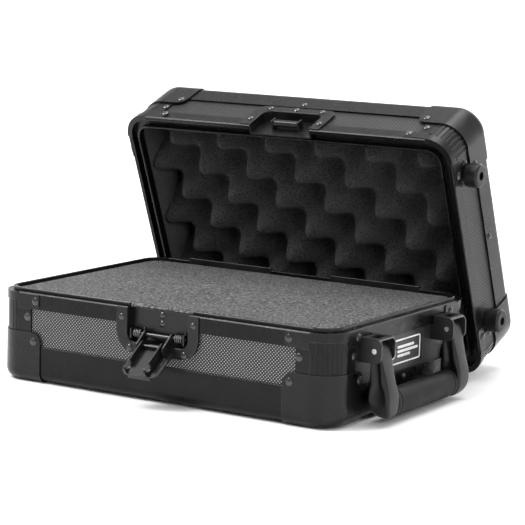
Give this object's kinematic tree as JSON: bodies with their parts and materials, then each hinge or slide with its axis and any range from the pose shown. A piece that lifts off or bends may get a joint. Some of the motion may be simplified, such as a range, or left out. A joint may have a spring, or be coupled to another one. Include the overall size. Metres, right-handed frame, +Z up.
{
  "type": "foam-lined carry case",
  "caption": "Rail-edged black carry case with a lift-off foam-lined lid, recessed latch, side carrying handle and rubber feet.",
  "frame": {"origin": "middle of the outer face of the base's underside panel", "axes": "+Z up out of the base's mouth, -Y out of the latch side, +X towards the carrying handle"},
  "size_m": [0.4479, 0.4313, 0.2881],
  "materials": {
    "rail": "black anodised, satin",
    "corner": "black powder coat, satin",
    "post": "black anodised, fluted",
    "panel": "plywood with a dark laminate in a fine staggered diamond pattern",
    "rivet": "black, worn to a dull shine",
    "black_steel": "black, semi-gloss",
    "bright_steel": "bright",
    "spring": "spring wire",
    "moulding": "fine moulded grain",
    "rubber": "matt",
    "badge": "printed plate with a pale border",
    "foam": "open-cell foam, mid grey",
    "lid_foam": "egg-crate foam, dark grey",
    "lining": "smooth dark lining"
  },
  "bodies": {
    "base": {"badge_plate": "badge", "base_back_panel": "panel", "base_ball_corner_back_left": "corner", "base_ball_corner_back_right": "corner", "base_ball_corner_front_left": "corner", "base_ball_corner_front_right": "corner", "base_bottom_panel": "panel", "base_corner_posts": "post", "base_feet": "rubber", "base_foam": "foam", "base_front_panel": "panel", "base_hinge_leaves": "black_steel", "base_left_panel": "panel", "base_lower_rails_long": "rail", "base_lower_rails_short": "rail", "base_right_panel": "panel", "base_rim_corners": "corner", "base_rim_rail_back": "rail", "base_rim_rail_front": "rail", "base_rim_rails_side": "rail", "base_rivets": "rivet", "handle_bracket_back": "moulding", "handle_bracket_front": "moulding", "handle_pins": "bright_steel", "latch_bracket": "black_steel", "latch_bracket_rivets": "rivet", "latch_dish_lower": "black_steel", "latch_pivot_pin": "bright_steel", "latch_spring_left": "spring", "latch_spring_right": "spring"},
    "hinge_pins": {"hinge_pins": "bright_steel"},
    "lid": {"catch_ears": "black_steel", "catch_roller": "black_steel", "latch_dish_upper": "black_steel", "lid_back_panel": "panel", "lid_ball_corner_back_left": "corner", "lid_ball_corner_back_right": "corner", "lid_ball_corner_front_left": "corner", "lid_ball_corner_front_right": "corner", "lid_corner_posts": "post", "lid_feet": "rubber", "lid_foam": "lid_foam", "lid_front_panel": "panel", "lid_hinge_hooks": "black_steel", "lid_left_panel": "panel", "lid_lining": "lining", "lid_outer_rails_long": "rail", "lid_outer_rails_short": "rail", "lid_right_panel": "panel", "lid_rim_corners": "corner", "lid_rim_rail_back": "rail", "lid_rim_rail_front": "rail", "lid_rim_rails_side": "rail", "lid_rivets": "rivet", "lid_top_panel": "panel"},
    "latch": {"latch_lever": "black_steel", "latch_hook_pin": "bright_steel"},
    "latch_hook": {"latch_hook": "black_steel"},
    "handle": {"handle_frame": "moulding", "handle_grip": "rubber"}
  },
  "joints": [
    {"name": "lid_hinge", "type": "hinge", "parent": "base", "child": "hinge_pins", "pos_m": [0, 0.137, 0.0885], "axis": [-1, 0, 0], "range_deg": [-68, 24]},
    {"name": "lid_slip_off", "type": "slide", "parent": "hinge_pins", "child": "lid", "axis": [0, 0.413, -0.9107], "range_m": [-0.09575, 0]},
    {"name": "latch_swing", "type": "hinge", "parent": "base", "child": "latch", "pos_m": [0, -0.1355, 0.0655], "axis": [1, 0, 0], "range_deg": [-126, 0]},
    {"name": "hook_float", "type": "hinge", "parent": "latch", "child": "latch_hook", "pos_m": [0, -0.14636, 0.05662], "axis": [-1, 0, 0], "range_deg": [0, 18]},
    {"name": "handle_swing", "type": "hinge", "parent": "base", "child": "handle", "pos_m": [0.2165, -0.002, 0.071], "axis": [0, -1, 0], "range_deg": [0, 95]}
  ]
}
